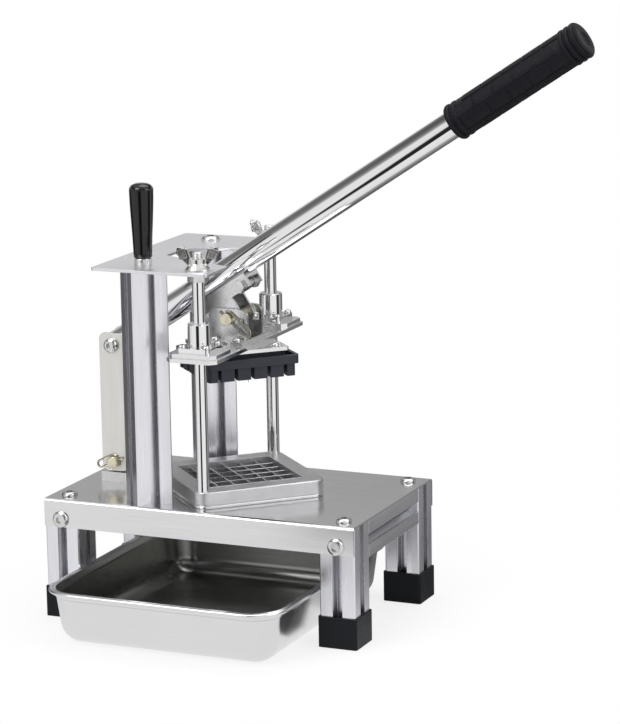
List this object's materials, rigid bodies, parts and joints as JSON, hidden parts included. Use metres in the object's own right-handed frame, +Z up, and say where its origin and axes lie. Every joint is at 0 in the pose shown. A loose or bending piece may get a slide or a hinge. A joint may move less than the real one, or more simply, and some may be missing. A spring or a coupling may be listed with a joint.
{
  "type": "french fry cutter",
  "caption": "Hand lever press that pushes a potato through crossed blades above a tray, on a footed table, with guided carriage, rear link and wing nut fasteners.",
  "frame": {"origin": "on the surface that it stands on, midway between the four feet and straight below the pusher", "axes": "+X towards the lever's grip, +Y to the back, away from the side where the tray sticks out, +Z up"},
  "size_m": [0.4405, 0.248, 0.4869],
  "materials": {
    "table_sheet": "satin stainless sheet",
    "anodised": "clear anodised extrusion",
    "foot_plastic": "moulded black",
    "zinc": "bright zinc plate",
    "top_sheet": "satin",
    "knob_plastic": "gloss black",
    "chrome": "polished",
    "die_cast": "satin cast",
    "bright_plate": "bright rolled",
    "blade_steel": "ground",
    "link_steel": "satin zinc",
    "brass_pin": "pale yellow passivate",
    "clip_wire": "spring wire",
    "pusher_plastic": "moulded blue-black",
    "grip_rubber": "moulded black",
    "tray_steel": "satin stainless"
  },
  "bodies": {
    "frame": {"table_plate": "table_sheet", "rail_left": "anodised", "rail_right": "anodised", "leg_front_left": "anodised", "leg_front_right": "anodised", "leg_back_left": "anodised", "leg_back_right": "anodised", "foot_front_left": "foot_plastic", "foot_front_right": "foot_plastic", "foot_back_left": "foot_plastic", "foot_back_right": "foot_plastic", "leg_screws": "zinc", "rail_bolts": "zinc", "post_near": "anodised", "post_far": "anodised", "post_screws": "zinc", "top_plate": "top_sheet", "post_top_screw": "zinc", "side_handle": "knob_plastic", "side_handle_stud": "zinc", "guide_rod_near": "chrome", "guide_rod_far": "chrome", "rod_top_nuts": "zinc", "rod_base_nuts": "zinc", "die_seat": "bright_plate", "die_frame": "die_cast", "blades_lengthwise": "blade_steel", "blades_crosswise": "blade_steel", "hitch_bracket": "link_steel", "hitch_screws": "zinc", "hitch_pin": "brass_pin", "hitch_clip": "clip_wire"},
    "carriage": {"carriage_plate": "bright_plate", "bush_pads": "bright_plate", "bush_near": "chrome", "bush_far": "chrome", "bush_screws": "zinc", "carriage_clevis": "link_steel", "clevis_screws": "zinc", "pivot_pin": "brass_pin", "pivot_clip": "clip_wire", "pusher_plate": "bright_plate", "pusher_screws": "zinc", "pusher_block": "pusher_plastic", "potato_spikes": "blade_steel"},
    "lever": {"lever_tube": "chrome", "lever_grip": "grip_rubber", "lever_lug": "link_steel", "lug_bolt": "zinc"},
    "rear_link": {"link_plate_near": "link_steel", "link_plate_far": "link_steel", "rear_bolt": "zinc", "rear_nut": "zinc"},
    "tray": {"tray": "tray_steel"},
    "rod_wing_near": {"wing_nut_near": "zinc"},
    "rod_wing_far": {"wing_nut_far": "zinc"}
  },
  "joints": [
    {"name": "carriage_slide", "type": "slide", "parent": "frame", "child": "carriage", "axis": [0, 0, 1], "range_m": [-0.092, 0.006]},
    {"name": "lever_swing", "type": "hinge", "parent": "carriage", "child": "lever", "pos_m": [0, 0, 0.243], "axis": [0, 1, 0], "range_deg": [-3.3, 48.2]},
    {"name": "link_swing", "type": "hinge", "parent": "frame", "child": "rear_link", "pos_m": [-0.106, 0, 0.116], "axis": [0, 1, 0], "range_deg": [-0.3, 2.8]},
    {"name": "tray_slide", "type": "slide", "parent": "frame", "child": "tray", "axis": [0, 1, 0], "range_m": [-0.22, 0.045]},
    {"name": "rod_wing_near_spin", "type": "hinge", "parent": "frame", "child": "rod_wing_near", "pos_m": [0, -0.068, 0.292], "axis": [0, 0, 1], "continuous": true},
    {"name": "rod_wing_far_spin", "type": "hinge", "parent": "frame", "child": "rod_wing_far", "pos_m": [0, 0.068, 0.292], "axis": [0, 0, 1], "continuous": true}
  ],
  "couplings": [
    {"joint": "lever_swing", "follows": "carriage_slide", "rad_per_m": -9.1},
    {"joint": "link_swing", "follows": "carriage_slide", "rad_per_m": -0.5}
  ]
}
